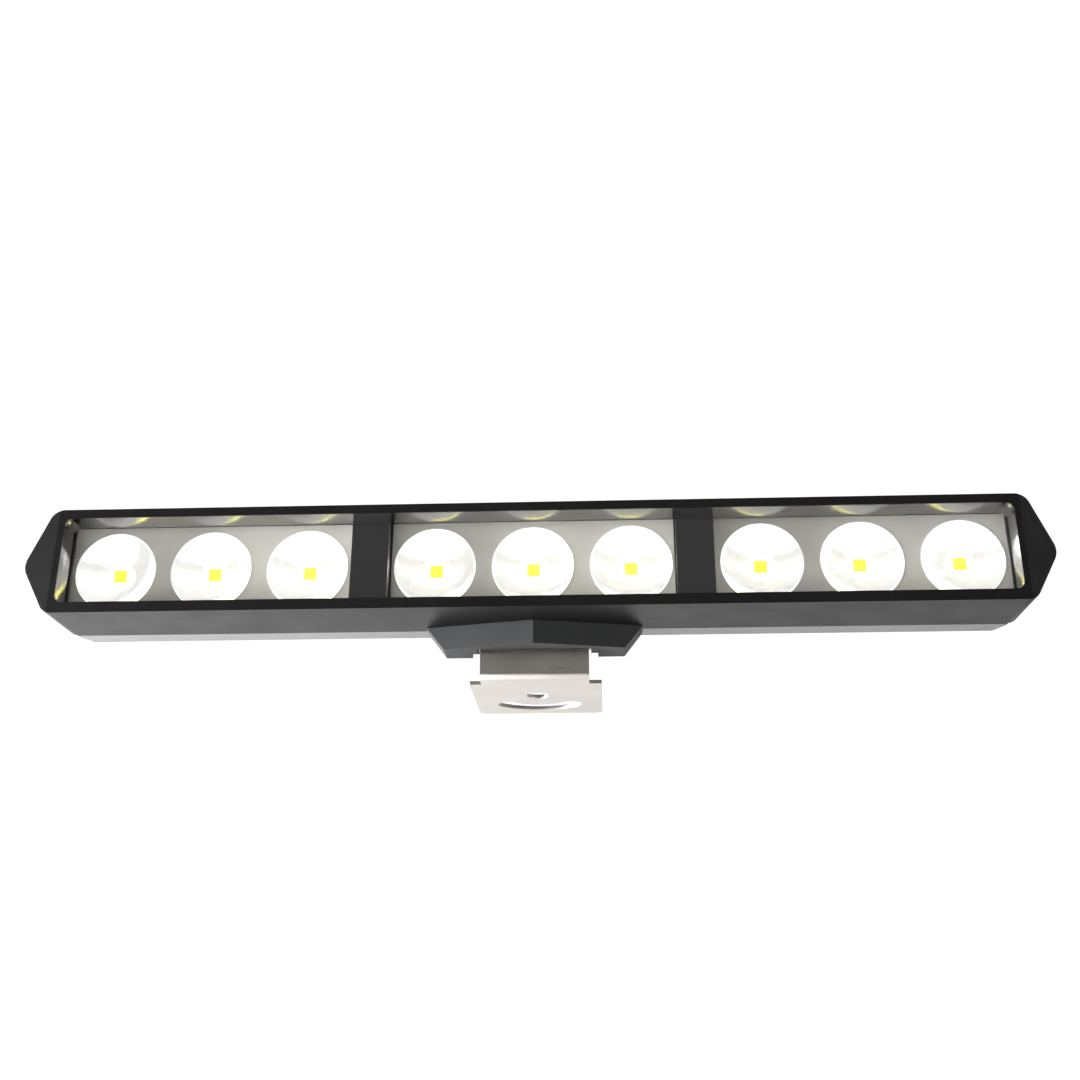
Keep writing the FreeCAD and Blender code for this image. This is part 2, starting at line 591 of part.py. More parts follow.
AXIS_Z = "-body_height/2 - pivot_drop"
for sign, side in (("-", "left"), ("", "right")):
    start = "-stud_end" if sign else "strip_half - sheet - 1.6"
    stud = rod("stud_rod_" + side, "pivot_radius", "stud_end - strip_half + sheet + 1.6", start,
               "pivot_y", AXIS_Z, ALONG_X)
    finish(group("stud_" + side, [stud]), "pivot_stud_" + side)
    start = "-bay_half" if sign else "strip_half"
    ring = cut("washer_cut_" + side,
               rod("washer_disc_" + side, "washer_radius", "bay_half - strip_half", start,
                   "pivot_y", AXIS_Z, ALONG_X),
               rod("washer_bore_" + side, "pivot_radius", "bay_half - strip_half", start,
                   "pivot_y", AXIS_Z, ALONG_X))
    finish(ring, "friction_washer_" + side)
    start = "-strip_half + sheet" if sign else "strip_half - sheet - 1.6"
    lock = cut("nut_cut_" + side,
               hexagon("nut_hex_" + side, "nut_radius", "1.6", start, "pivot_y", AXIS_Z, ALONG_X),
               rod("nut_bore_" + side, "pivot_radius", "1.6", start, "pivot_y", AXIS_Z,
                   ALONG_X))
    finish(lock, "pivot_nut_" + side)

# ---------------------------------------------------------------- bracket
bracket = new_body("mounting_bracket")
profile = new_sketch(bracket, "bracket_profile", "YZ_Plane")
polygon(profile, [("strip_y", "0"), ("plate_rear", "0"), ("plate_rear", "sheet"),
                  ("strip_y + sheet", "sheet"),
                  ("strip_y + sheet", "tab_z + tab_rise"), ("strip_y", "tab_z + tab_rise")])
angle = feature(bracket, "Pad", "bracket_angle", profile, "2*strip_half", both=True)
outer_y = DIMS["strip_y"]
inner_y = DIMS["strip_y"] + DIMS["sheet"]
angle = dress(bracket, "Fillet", "outer_bend", angle,
              lambda mid, way: abs(way.x) > 0.9 and abs(mid.y - outer_y) < 0.01
              and abs(mid.z) < 0.01, "Radius", "bend_radius")
angle = dress(bracket, "Fillet", "inner_bend", angle,
              lambda mid, way: abs(way.x) > 0.9 and abs(mid.y - inner_y) < 0.01
              and abs(mid.z - DIMS["sheet"]) < 0.01, "Radius", "bend_radius - sheet")
wings = new_sketch(bracket, "plate_outline", "XY_Plane")
rectangle(wings, "-plate_half", "plate_half", "ear_y", "plate_rear")
plate = feature(bracket, "Pad", "foot_plate", wings, "sheet")
rear_y = DIMS["plate_rear"]
plate = dress(bracket, "Fillet", "plate_corners", plate,
              lambda mid, way: abs(way.z) > 0.9 and abs(mid.y - rear_y) < 0.01,
              "Radius", "plate_corner")
for side, start, flip in (("left", "-strip_half", False), ("right", "strip_half", True)):
    tab = new_sketch(bracket, "tab_%s_outline" % side, "YZ_Plane", start)
    polygon(tab, [("strip_y", "tab_z - tab_radius"), ("tab_y", "tab_z - tab_radius"),
                  ("tab_y + tab_radius", "tab_z - tab_radius/2"),
                  ("tab_y + tab_radius", "tab_z + tab_radius/2"),
                  ("tab_y", "tab_z + tab_radius"), ("strip_y", "tab_z + tab_rise")])
    feature(bracket, "Pad", "tab_" + side, tab, "sheet", flip=flip)
tab_bore = new_sketch(bracket, "tab_bore_outline", "YZ_Plane", "-strip_half")
circle(tab_bore, "tab_y", "tab_z", "pivot_radius + 0.05")
feature(bracket, "Pocket", "tab_bores", tab_bore, "2*strip_half", flip=True)
hole = new_sketch(bracket, "pivot_hole_outline", "XY_Plane", "sheet")
circle(hole, "0", "0", "pivot_hole")
feature(bracket, "Pocket", "pivot_hole", hole, "sheet")

def spoke(sketch, start, stop, side):
    """Radial line at one end of the arc slot, its angle driven by the sheet."""
    turn = math.radians(90 + side * DIMS["slot_angle"])
    way = FreeCAD.Vector(math.cos(turn), math.sin(turn), 0)
    index = sketch.addGeometry(Part.LineSegment(way * start, way * stop), False)
    made = sketch.addConstraint(Sketcher.Constraint("Angle", index, turn))
    sign = "+" if side > 0 else "-"
    sketch.setExpression("Constraints[%d]" % made, "(90 %s Dims.slot_angle) * 1 deg" % sign)
    return index


slot = new_sketch(bracket, "arc_slot_outline", "XY_Plane", "sheet")
inner = DIMS["slot_radius"] - DIMS["slot_half"]
outer = DIMS["slot_radius"] + DIMS["slot_half"]
right_end = spoke(slot, inner, outer, -1)
left_end = spoke(slot, inner, outer, 1)
for spoke_index in (right_end, left_end):
    slot.addConstraint(Sketcher.Constraint("PointOnObject", -1, 1, spoke_index))
low = math.radians(90 - DIMS["slot_angle"])
high = math.radians(90 + DIMS["slot_angle"])
for radius, corner, formula in ((inner, 1, "slot_radius - slot_half"),
                                (outer, 2, "slot_radius + slot_half")):
    ring = Part.Circle(FreeCAD.Vector(0, 0, 0), FreeCAD.Vector(0, 0, 1), radius)
    index = slot.addGeometry(Part.ArcOfCircle(ring, low, high), False)
    slot.addConstraint(Sketcher.Constraint("Coincident", index, 3, -1, 1))
    slot.addConstraint(Sketcher.Constraint("Coincident", index, 1, right_end, corner))
    slot.addConstraint(Sketcher.Constraint("Coincident", index, 2, left_end, corner))
    made = slot.addConstraint(Sketcher.Constraint("Radius", index, radius))
    bind(slot, "Constraints[%d]" % made, formula)
feature(bracket, "Pocket", "arc_slot", slot, "sheet")

for side, name in ((-1, "slot_end_right"), (1, "slot_end_left")):
    rounding = new_sketch(bracket, name + "_outline", "XY_Plane", "sheet")
    guide = spoke(rounding, 0.0, DIMS["slot_radius"], side)
    rounding.setConstruction(guide, True)
    rounding.addConstraint(Sketcher.Constraint("Coincident", guide, 1, -1, 1))
    made = rounding.addConstraint(Sketcher.Constraint("Distance", guide, DIMS["slot_radius"]))
    bind(rounding, "Constraints[%d]" % made, "slot_radius")
    turn = math.radians(90 + side * DIMS["slot_angle"])
    middle = FreeCAD.Vector(math.cos(turn), math.sin(turn), 0) * DIMS["slot_radius"]
    index = rounding.addGeometry(
        Part.Circle(middle, FreeCAD.Vector(0, 0, 1), DIMS["slot_half"]), False)
    rounding.addConstraint(Sketcher.Constraint("Coincident", index, 3, guide, 2))
    made = rounding.addConstraint(Sketcher.Constraint("Radius", index, DIMS["slot_half"]))
    bind(rounding, "Constraints[%d]" % made, "slot_half")
    feature(bracket, "Pocket", name, rounding, "sheet")
finish(bracket, "mounting_bracket", on_lamp=False)

# ---------------------------------------------------------------- check and write
doc.recompute()
for obj in doc.Objects:
    if "Invalid" in obj.State or "Error" in obj.State:
        raise RuntimeError("bad feature: %s %s" % (obj.Name, obj.State))
os.makedirs("parts", exist_ok=True)
for obj in PARTS:
    if obj.Shape.isNull() or not obj.Shape.isValid():
        raise RuntimeError("bad shape: " + obj.Label)
    obj.Shape.exportStep("parts/%s.step" % obj.Label)
    bounds = obj.Shape.BoundBox
    print("%-26s solids %d volume %9.2f  x %8.2f %8.2f  y %7.2f %7.2f  z %7.2f %7.2f" % (
        obj.Label, len(obj.Shape.Solids), obj.Shape.Volume, bounds.XMin, bounds.XMax,
        bounds.YMin, bounds.YMax, bounds.ZMin, bounds.ZMax))
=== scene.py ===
import json
import math

import bmesh
import bpy
from mathutils import Euler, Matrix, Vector

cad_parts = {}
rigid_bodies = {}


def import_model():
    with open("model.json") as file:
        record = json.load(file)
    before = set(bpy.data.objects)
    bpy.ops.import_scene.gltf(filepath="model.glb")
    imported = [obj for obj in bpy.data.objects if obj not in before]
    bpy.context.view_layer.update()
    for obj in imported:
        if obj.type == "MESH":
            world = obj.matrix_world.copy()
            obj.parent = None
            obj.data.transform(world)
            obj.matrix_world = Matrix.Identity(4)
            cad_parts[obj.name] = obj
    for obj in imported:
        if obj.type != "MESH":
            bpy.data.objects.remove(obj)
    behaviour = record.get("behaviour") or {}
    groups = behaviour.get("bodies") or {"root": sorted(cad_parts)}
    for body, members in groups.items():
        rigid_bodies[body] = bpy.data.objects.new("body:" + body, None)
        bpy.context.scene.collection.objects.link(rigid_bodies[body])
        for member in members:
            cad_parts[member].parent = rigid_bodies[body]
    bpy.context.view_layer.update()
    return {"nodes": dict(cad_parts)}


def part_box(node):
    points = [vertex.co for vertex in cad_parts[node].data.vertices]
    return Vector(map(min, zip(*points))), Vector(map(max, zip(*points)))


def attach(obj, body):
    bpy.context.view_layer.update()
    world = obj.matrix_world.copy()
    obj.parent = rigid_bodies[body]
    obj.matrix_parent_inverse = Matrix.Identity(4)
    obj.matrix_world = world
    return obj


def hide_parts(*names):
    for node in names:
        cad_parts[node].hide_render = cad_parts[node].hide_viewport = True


# Light bar: lit reflectors, boards, wiring and finishes around its frame. Metres, +Z up.

for stray in list(bpy.data.objects):
    bpy.data.objects.remove(stray)
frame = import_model()
nodes = frame["nodes"]
MM = 0.001
SIDES = ("left", "centre", "right")


# ------------------------------------------------------------------ material building
def new_material(name):
    """Empty node material and its Principled shader."""
    mat = bpy.data.materials.new(name)
    mat.use_nodes = True
    return mat, mat.node_tree.nodes, mat.node_tree.links, mat.node_tree.nodes["Principled BSDF"]


def noise(mat, size, detail=3.0, stretch=(1.0, 1.0, 1.0), roughness=0.55):
    """Noise in object space whose features are about size metres across."""
    nodes_, links = mat.node_tree.nodes, mat.node_tree.links
    coords = nodes_.new("ShaderNodeTexCoord")
    mapping = nodes_.new("ShaderNodeMapping")
    mapping.inputs["Scale"].default_value = stretch
    texture = nodes_.new("ShaderNodeTexNoise")
    texture.inputs["Scale"].default_value = 1.0 / size
    texture.inputs["Detail"].default_value = detail
    texture.inputs["Roughness"].default_value = roughness
    links.new(coords.outputs["Object"], mapping.inputs["Vector"])
    links.new(mapping.outputs["Vector"], texture.inputs["Vector"])
    return texture.outputs["Fac"]


def remap(mat, source, low, high, start=0.3, stop=0.7):
    """Number that runs from low to high as source runs from start to stop."""
    node = mat.node_tree.nodes.new("ShaderNodeMapRange")
    for socket, amount in (("From Min", start), ("From Max", stop), ("To Min", low),
                           ("To Max", high)):
        node.inputs[socket].default_value = amount
    mat.node_tree.links.new(source, node.inputs["Value"])
    return node.outputs["Result"]


def tint(mat, source, dark, light):
    """Colour between two tones by a 0 to 1 source."""
    ramp = mat.node_tree.nodes.new("ShaderNodeValToRGB")
    ramp.color_ramp.elements[0].position = 0.3
    ramp.color_ramp.elements[1].position = 0.7
    ramp.color_ramp.elements[0].color = (*dark, 1.0)
    ramp.color_ramp.elements[1].color = (*light, 1.0)
    mat.node_tree.links.new(source, ramp.inputs["Fac"])
    return ramp.outputs["Color"]


def relief(mat, layers):
    """Bump chain of (height source, strength, distance) layers into the shader's normal."""
    normal = None
    for source, strength, distance in layers:
        bump = mat.node_tree.nodes.new("ShaderNodeBump")
        bump.inputs["Strength"].default_value = strength
        bump.inputs["Distance"].default_value = distance
        mat.node_tree.links.new(source, bump.inputs["Height"])
        if normal:
            mat.node_tree.links.new(normal, bump.inputs["Normal"])
        normal = bump.outputs["Normal"]
    mat.node_tree.links.new(normal, mat.node_tree.nodes["Principled BSDF"].inputs["Normal"])


def finish(name, dark, light, rough, metallic=0.0, cloud=8 * MM, grain=0.25 * MM,
           grain_depth=0.01 * MM, grain_strength=0.3, stretch=(1.0, 1.0, 1.0), sockets=()):
    """Surface with drifting tone, uneven gloss and a fine raised grain."""
    mat, _, links, shader = new_material(name)
    drift = noise(mat, cloud)
    fine = noise(mat, grain, detail=4.0, stretch=stretch)
    links.new(tint(mat, drift, dark, light), shader.inputs["Base Color"])
    links.new(remap(mat, noise(mat, cloud * 0.4), rough[0], rough[1]), shader.inputs["Roughness"])
    shader.inputs["Metallic"].default_value = metallic
    relief(mat, [(fine, grain_strength, grain_depth)])
    for socket, amount in sockets:
        shader.inputs[socket].default_value = amount
    return mat


def coated_black(name, level, rough, grain=0.22 * MM, strength=0.35, gloss=0.4):
    """Black anodised or moulded surface with a satin grain."""
    dark = (level * 0.9, level * 0.91, level * 0.95)
    light = (level * 1.1, level * 1.12, level * 1.15)
    return finish(name, dark, light, rough, cloud=25 * MM, grain=grain, grain_strength=strength,
                  sockets=(("Specular IOR Level", gloss),))


def inside(mat, low, high, edge=0.15 * MM):
    """1 within a box of object space, falling to 0 over a short edge."""
    nodes_, links = mat.node_tree.nodes, mat.node_tree.links
    coords = nodes_.new("ShaderNodeTexCoord")
    split = nodes_.new("ShaderNodeSeparateXYZ")
    links.new(coords.outputs["Object"], split.inputs["Vector"])
    result = None
    for axis, start, stop in zip("XYZ", low, high):
        for near, far in ((start - edge, start + edge), (stop + edge, stop - edge)):
            share = remap(mat, split.outputs[axis], 0.0, 1.0, near, far)
            if result is None:
                result = share
                continue
            both = nodes_.new("ShaderNodeMath")
            both.operation = "MULTIPLY"
            links.new(result, both.inputs[0])
            links.new(share, both.inputs[1])
            result = both.outputs["Value"]
    return result


def housing_black():
    """Anodised black, with a glossy lacquer on the walls of the window recess."""
    mat = coated_black("anodised_black", 0.0040, (0.36, 0.44), gloss=0.13)
    tree = mat.node_tree
    shader = tree.nodes["Principled BSDF"]
    low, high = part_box("front_housing")
    end_margin, front_margin, base_margin, top_margin = 1.0 * MM, 0.3 * MM, 2.0 * MM, 1.6 * MM
    mask = inside(mat, (low[0] + end_margin, low[1] + front_margin, low[2] + base_margin),
                  (high[0] - end_margin, high[1], high[2] - top_margin))
    recess_roughness = 0.27
    satin = shader.inputs["Roughness"].links[0].from_socket
    mix = tree.nodes.new("ShaderNodeMix")
    mix.data_type = "FLOAT"
    tree.links.new(mask, mix.inputs[0])
    tree.links.new(satin, mix.inputs[2])
    mix.inputs[3].default_value = recess_roughness
    tree.links.new(mix.outputs[0], shader.inputs["Roughness"])
    tree.links.new(mask, shader.inputs["Coat Weight"])
    shader.inputs["Coat Roughness"].default_value = 0.16
    shader.inputs["Coat IOR"].default_value = 1.75
    return mat


def rolled_steel():
    """Stainless sheet with long fine draw lines and faint smears."""
    mat, _, links, shader = new_material("rolled_steel")
    lines = noise(mat, 0.35 * MM, detail=6.0, stretch=(0.03, 1.0, 1.0), roughness=0.7)
    smear = noise(mat, 9 * MM, detail=2.0)
    links.new(tint(mat, smear, (0.40, 0.375, 0.345), (0.45, 0.425, 0.395)),
              shader.inputs["Base Color"])
    links.new(remap(mat, lines, 0.26, 0.42), shader.inputs["Roughness"])
    shader.inputs["Metallic"].default_value = 1.0
    relief(mat, [(lines, 0.22, 0.01 * MM), (smear, 0.05, 0.05 * MM)])
    return mat


def clear_pane():
    """Clear polycarbonate: nearly invisible, with its own reflections."""
    mat, _, links, shader = new_material("clear_pane")
    haze = noise(mat, 14 * MM)
    links.new(tint(mat, haze, (0.93, 0.95, 0.96), (0.98, 0.99, 1.0)),
              shader.inputs["Base Color"])
    links.new(remap(mat, haze, 0.02, 0.05), shader.inputs["Roughness"])
    shader.inputs["Alpha"].default_value = 0.035
    shader.inputs["IOR"].default_value = 1.3
    return mat


def lit_bowl():
    """Metallised bowl with a painted glow: its emission stands in for the LED light it reflects.
    """
    mat, _, links, shader = new_material("lit_bowl")
    ripple = noise(mat, 1.6 * MM, detail=2.0)
    links.new(tint(mat, ripple, (0.80, 0.80, 0.79), (0.93, 0.93, 0.92)),
              shader.inputs["Base Color"])
    links.new(remap(mat, ripple, 0.10, 0.2), shader.inputs["Roughness"])
    shader.inputs["Metallic"].default_value = 1.0
    # Painted light: this emission stands in for LED light bouncing off the bowl.
    shader.inputs["Emission Color"].default_value = (1.0, 0.985, 0.95, 1.0)
    shader.inputs["Emission Strength"].default_value = 0.72
    relief(mat, [(ripple, 0.15, 0.05 * MM)])
    return mat


def phosphor():
    """Lit yellow phosphor with a fine speckle."""
    mat, _, links, shader = new_material("phosphor")
    speck = noise(mat, 0.25 * MM)
    links.new(tint(mat, speck, (0.85, 0.72, 0.005), (0.98, 0.86, 0.01)),
              shader.inputs["Base Color"])
    links.new(remap(mat, speck, 0.35, 0.5), shader.inputs["Roughness"])
    shader.inputs["Emission Color"].default_value = (1.0, 0.93, 0.004, 1.0)
    shader.inputs["Emission Strength"].default_value = 12.0
    relief(mat, [(speck, 0.2, 0.02 * MM)])
    return mat


BLACK = housing_black()
MOULDED = coated_black("moulded_black", 0.006, (0.44, 0.52), grain=0.35 * MM, strength=0.5,
                       gloss=0.18)
SINK = coated_black("heat_sink_black", 0.075, (0.36, 0.46), gloss=0.8)
TEXTURED = coated_black("textured_black", 0.028, (0.55, 0.68), grain=0.40 * MM, strength=1.0,
                        gloss=0.12)
NYLON = coated_black("nylon_black", 0.012, (0.30, 0.42), grain=0.5 * MM)
RUBBER = coated_black("silicone_rubber", 0.008, (0.55, 0.72), grain=0.15 * MM)
STEEL = rolled_steel()
PANE = clear_pane()
BOWL = lit_bowl()
PANEL = finish("metallised_panel", (0.60, 0.58, 0.515), (0.66, 0.64, 0.57), (0.36, 0.44),
               metallic=0.5, grain=0.12 * MM, grain_strength=0.15)
PHOSPHOR = phosphor()
# Painted light: a weak emission on the white LED packages and board mask stands in for LED light
# scattered onto them.
PAINTED_LED_GLOW = (("Emission Color", (1.0, 0.99, 0.95, 1.0)), ("Emission Strength", 0.7))
CERAMIC = finish("white_ceramic", (0.72, 0.71, 0.66), (0.86, 0.85, 0.80), (0.30, 0.40),
                 cloud=1.5 * MM, grain=0.08 * MM, sockets=PAINTED_LED_GLOW)
MASK = finish("white_mask", (0.70, 0.71, 0.69), (0.82, 0.83, 0.81), (0.30, 0.42),
              cloud=6 * MM, grain=0.2 * MM, sockets=PAINTED_LED_GLOW)
GREEN = finish("green_mask", (0.010, 0.085, 0.030), (0.016, 0.13, 0.045), (0.25, 0.35),
               cloud=3 * MM, grain=0.3 * MM)
PAD = finish("thermal_pad", (0.26, 0.30, 0.35), (0.34, 0.38, 0.43), (0.7, 0.85),
             grain=0.3 * MM, grain_strength=0.5)
FERRITE = finish("ferrite", (0.03, 0.03, 0.032), (0.05, 0.05, 0.052), (0.5, 0.65),
                 cloud=2 * MM, grain=0.2 * MM)
CAN = finish("drawn_can", (0.60, 0.60, 0.61), (0.74, 0.74, 0.75), (0.22, 0.32), metallic=1.0,
             cloud=2 * MM, grain=0.2 * MM, stretch=(1.0, 0.05, 1.0))
SCREW = finish("stainless_screw", (0.44, 0.44, 0.43), (0.62, 0.62, 0.60), (0.22, 0.36),
               metallic=1.0, cloud=1.2 * MM, grain=0.12 * MM)
ACETAL = finish("acetal", (0.62, 0.61, 0.57), (0.74, 0.73, 0.69), (0.35, 0.45),
                grain=0.15 * MM)
SOLDER = finish("solder", (0.58, 0.58, 0.60), (0.76, 0.76, 0.78), (0.18, 0.30), metallic=1.0,
                cloud=0.8 * MM, grain=0.15 * MM)
RED = finish("red_insulation", (0.40, 0.012, 0.010), (0.52, 0.02, 0.016), (0.4, 0.5),
             cloud=2 * MM)
COPPER = finish("enamelled_copper", (0.42, 0.14, 0.05), (0.56, 0.21, 0.08), (0.2, 0.3),
                metallic=1.0, cloud=1 * MM)


# ------------------------------------------------------------------ carried-over CAD nodes
def soften(obj, width, segments=2):
    """Rounded edges on a CAD node: joined corners, flat faces merged, then a bevel."""
    weld = obj.modifiers.new("weld", "WELD")
    weld.merge_threshold = 0.002 * MM
    planar = obj.modifiers.new("planar", "DECIMATE")
    planar.decimate_type = "DISSOLVE"
    planar.angle_limit = math.radians(1.0)
    bevel = obj.modifiers.new("edge", "BEVEL")
    bevel.width = width
    bevel.segments = segments
    bevel.limit_method = "ANGLE"
    bevel.angle_limit = math.radians(32.0)


def dress(prefix, material, width, segments=2):
    """Give every CAD node with this prefix a finish, and softened edges if width isn't 0."""
    for name, obj in nodes.items():
        if name.startswith(prefix):
            obj.data.materials.clear()
            obj.data.materials.append(material)
            if width:
                soften(obj, width, segments)


# Node prefix, finish and edge width in millimetres. A later row overrides an earlier one.
for prefix, material, width in (
        ("rear_cover", SINK, 0.25), ("rear_gasket", RUBBER, 0),
        ("lens_", PANE, 0), ("lens_gasket", RUBBER, 0),
        ("led_board", MASK, 0.1), ("led_package", CERAMIC, 0.12),
        ("led_phosphor", PHOSPHOR, 0.06), ("thermal_pad", PAD, 0.08),
        ("driver_board", GREEN, 0.06), ("driver_inductor", FERRITE, 0.3),
        ("driver_capacitors", CAN, 0.25), ("driver_chip", NYLON, 0.12),
        ("cover_screws", SCREW, 0.12), ("foot_screws", SCREW, 0.1),
        ("pivot_stud", SCREW, 0.1), ("pivot_nut", SCREW, 0.1),
        ("friction_washer", ACETAL, 0.06), ("gland_body", NYLON, 0.25),
        ("gland_nut", NYLON, 0.3), ("gland_seal", RUBBER, 0.2),
        ("vent_plug", NYLON, 0.3), ("mounting_bracket", STEEL, 0.12)):
    dress(prefix, material, width * MM)
for prefix, material, width in (("front_housing", BLACK, 0.35), ("end_cap", MOULDED, 0.35),
                                ("mounting_foot", TEXTURED, 0.3)):
    dress(prefix, material, width * MM, segments=3)


# ------------------------------------------------------------------ mesh pieces
def mesh_piece(name, bm, materials, body="lamp"):
    """Object from a bmesh, with the given materials, riding on a body."""
    bmesh.ops.recalc_face_normals(bm, faces=bm.faces)
    mesh = bpy.data.meshes.new(name)
    bm.to_mesh(mesh)
    bm.free()
    for material in materials:
        mesh.materials.append(material)
    obj = bpy.data.objects.new(name, mesh)
    bpy.context.collection.objects.link(obj)
    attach(obj, body)
    return obj


def node_box(name):
    """Lowest corner, highest corner and middle of a CAD node at rest."""
    low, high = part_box(name)
    return Vector(low), Vector(high), (Vector(low) + Vector(high)) / 2


SPOKES = 96
RIM = 9.35 * MM
THROAT = 3.4 * MM
BOWL_DEPTH = 3.4 * MM
BOWL_ROWS = 14
RIM_LIP = 0.35 * MM
SKIN = 0.35 * MM
PANEL_ROWS = 3


def bowl_rows():
    """(radius, depth) from the rim lip down a parabola to the throat."""
    rows = [(RIM + RIM_LIP, 0.0), (RIM + 0.6 * RIM_LIP, -0.10 * MM),
            (RIM + 0.2 * RIM_LIP, -0.08 * MM), (RIM, 0.06 * MM)]
    for index in range(1, BOWL_ROWS + 1):
        radius = RIM + (THROAT - RIM) * index / BOWL_ROWS
        share = (RIM ** 2 - radius ** 2) / (RIM ** 2 - THROAT ** 2)
        rows.append((radius, BOWL_DEPTH * share))
    rows.append((THROAT - 0.12 * MM, BOWL_DEPTH + 0.12 * MM))
    rows.append((THROAT - 0.14 * MM, BOWL_DEPTH + 0.30 * MM))
    return rows


def cell_edge(angle, left, right, low, high):
    """Point where a spoke from the cell's LED leaves the cell's rectangle."""
    across, up = math.cos(angle), math.sin(angle)
    reach = []
    if abs(across) > 1e-9:
        reach.append((right if across > 0 else left) / across)
    if abs(up) > 1e-9:
        reach.append((high if up > 0 else low) / up)
    return min(reach) * across, min(reach) * up


def reflector(side):
    """One panel with three bowls, built from square-to-round cells that share edges."""
    low, high, _ = node_box("reflector_" + side)
    leds = [node_box("led_package_%d" % (3 * SIDES.index(side) + n))[2] for n in (1, 2, 3)]
    bm = bmesh.new()
    for index, led in enumerate(leds):
        left = (low.x if index == 0 else (leds[index - 1].x + led.x) / 2) - led.x
        right = (high.x if index == 2 else (leds[index + 1].x + led.x) / 2) - led.x
        bottom, top = low.z - led.z, high.z - led.z
        corners = [math.atan2(z, x) for x in (left, right) for z in (bottom, top)]
        angles = [math.tau * n / SPOKES - math.pi for n in range(SPOKES)]
        for corner in corners:
            nearest = min(range(SPOKES), key=lambda n: abs(angles[n] - corner))
            angles[nearest] = corner
        edge = [cell_edge(angle, left, right, bottom, top) for angle in angles]
        rings = [[bm.verts.new((led.x + x, low.y, led.z + z)) for x, z in edge]]
        for radius, depth in bowl_rows():
            rings.append([bm.verts.new((led.x + radius * math.cos(angle), low.y + depth,
                                        led.z + radius * math.sin(angle)))
                          for angle in angles])
        for row in range(1, len(rings)):
            for n in range(SPOKES):
                face = bm.faces.new((rings[row - 1][n], rings[row - 1][(n + 1) % SPOKES],
                                     rings[row][(n + 1) % SPOKES], rings[row][n]))
                face.material_index = 0 if row < PANEL_ROWS else 1
                face.smooth = row > 1
    bmesh.ops.remove_doubles(bm, verts=bm.verts, dist=0.001 * MM)
    obj = mesh_piece("reflector_skin_" + side, bm, (PANEL, BOWL))
    shell = obj.modifiers.new("thickness", "SOLIDIFY")
    shell.thickness = SKIN
    shell.offset = -1.0
    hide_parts("reflector_" + side)


for side in SIDES:
    reflector(side)


def tube(name, points, radius, material):
    """Wire through a few points as a smooth bevelled curve."""
    curve = bpy.data.curves.new(name, "CURVE")
    curve.dimensions = "3D"
    curve.bevel_depth = radius
    curve.bevel_resolution = 4
    curve.resolution_u = 10
    curve.use_fill_caps = True
    spline = curve.splines.new("NURBS")
    spline.points.add(len(points) - 1)
    for point, spot in zip(spline.points, points):
        point.co = (*spot, 1.0)
    spline.order_u = 4
    spline.use_endpoint_u = True
    curve.materials.append(material)
    obj = bpy.data.objects.new(name, curve)
    bpy.context.collection.objects.link(obj)
    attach(obj, "lamp")


def pad_grid(name, spots, size, depth, material):
    """Small domed pads or legs at spots on a board."""
    bm = bmesh.new()
    for x, y, z in spots:
        made = bmesh.ops.create_uvsphere(bm, u_segments=20, v_segments=10, radius=1.0)
        for vert in made["verts"]:
            vert.co.x = x + vert.co.x * size[0]
            vert.co.y = y + vert.co.y * depth
            vert.co.z = z + vert.co.z * size[1]
    for face in bm.faces:
        face.smooth = True
    mesh_piece(name, bm, (material,))


# Two wire pads at each end of a board.
WIRE_PAD_X, WIRE_PAD_Z, WIRE_PAD_RADIUS = 30.2 * MM, 1.6 * MM, 0.9 * MM
for side in SIDES:
    low, _, middle = node_box("led_board_" + side)
    pads = [(middle.x + way * WIRE_PAD_X, low.y, up * WIRE_PAD_Z + middle.z)
            for way in (-1, 1) for up in (-1, 1)]
    pad_grid("wire_pads_" + side, pads, (WIRE_PAD_RADIUS, WIRE_PAD_RADIUS), 0.3 * MM, SOLDER)

# Link wires run from board to board through the notches in the housing's bulkheads.
LINK_RADIUS, LINK_RISE = 0.5 * MM, 1.0 * MM
notch_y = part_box("rear_gasket")[0][1] - 1.4 * MM
for name, start, stop in (("left", "left", "centre"), ("right", "centre", "right")):
    _, from_high, from_mid = node_box("led_board_" + start)
    to_low = node_box("led_board_" + stop)[0]
    back = from_high.y + 0.6 * MM
    for tag, up, paint in (("plus", 1, RED), ("minus", -1, NYLON)):
        z = from_mid.z + up * LINK_RISE
        tube("link_wire_%s_%s" % (name, tag), [
            (from_high.x - 3.0 * MM, back, z), (from_high.x - 0.5 * MM, back, z),
            (from_high.x + 1.5 * MM, notch_y, z), (to_low.x - 1.5 * MM, notch_y, z),
            (to_low.x + 0.5 * MM, back, z), (to_low.x + 3.0 * MM, back, z)],
            LINK_RADIUS, paint)


def coil_winding():
    """Turns of enamelled wire lying flat round the inductor's core, side by side."""
    turns, ring_points, wire_sides, wire = 5, 40, 8, 0.16 * MM
    inner_radius, turn_pitch = 2.0, 0.3
    low, _, middle = node_box("driver_inductor")
    bm = bmesh.new()
    for turn in range(turns):
        radius = (inner_radius + turn_pitch * turn) * MM
        loops = []
        for n in range(ring_points):
            angle = math.tau * n / ring_points
            out = Vector((math.cos(angle), 0.0, math.sin(angle)))
            centre = Vector((middle.x, low.y, middle.z)) + out * radius
            loops.append([bm.verts.new(centre + out * wire * math.cos(a) +
                                       Vector((0.0, -wire * math.sin(a), 0.0)))
                          for a in (math.tau * k / wire_sides for k in range(wire_sides))])
        for n in range(ring_points):
            here, ahead = loops[n], loops[(n + 1) % ring_points]
            for k in range(wire_sides):
                beside = (k + 1) % wire_sides
                bm.faces.new((here[k], ahead[k], ahead[beside], here[beside]))
    for face in bm.faces:
        face.smooth = True
    mesh_piece("coil_winding", bm, (COPPER,))


coil_winding()

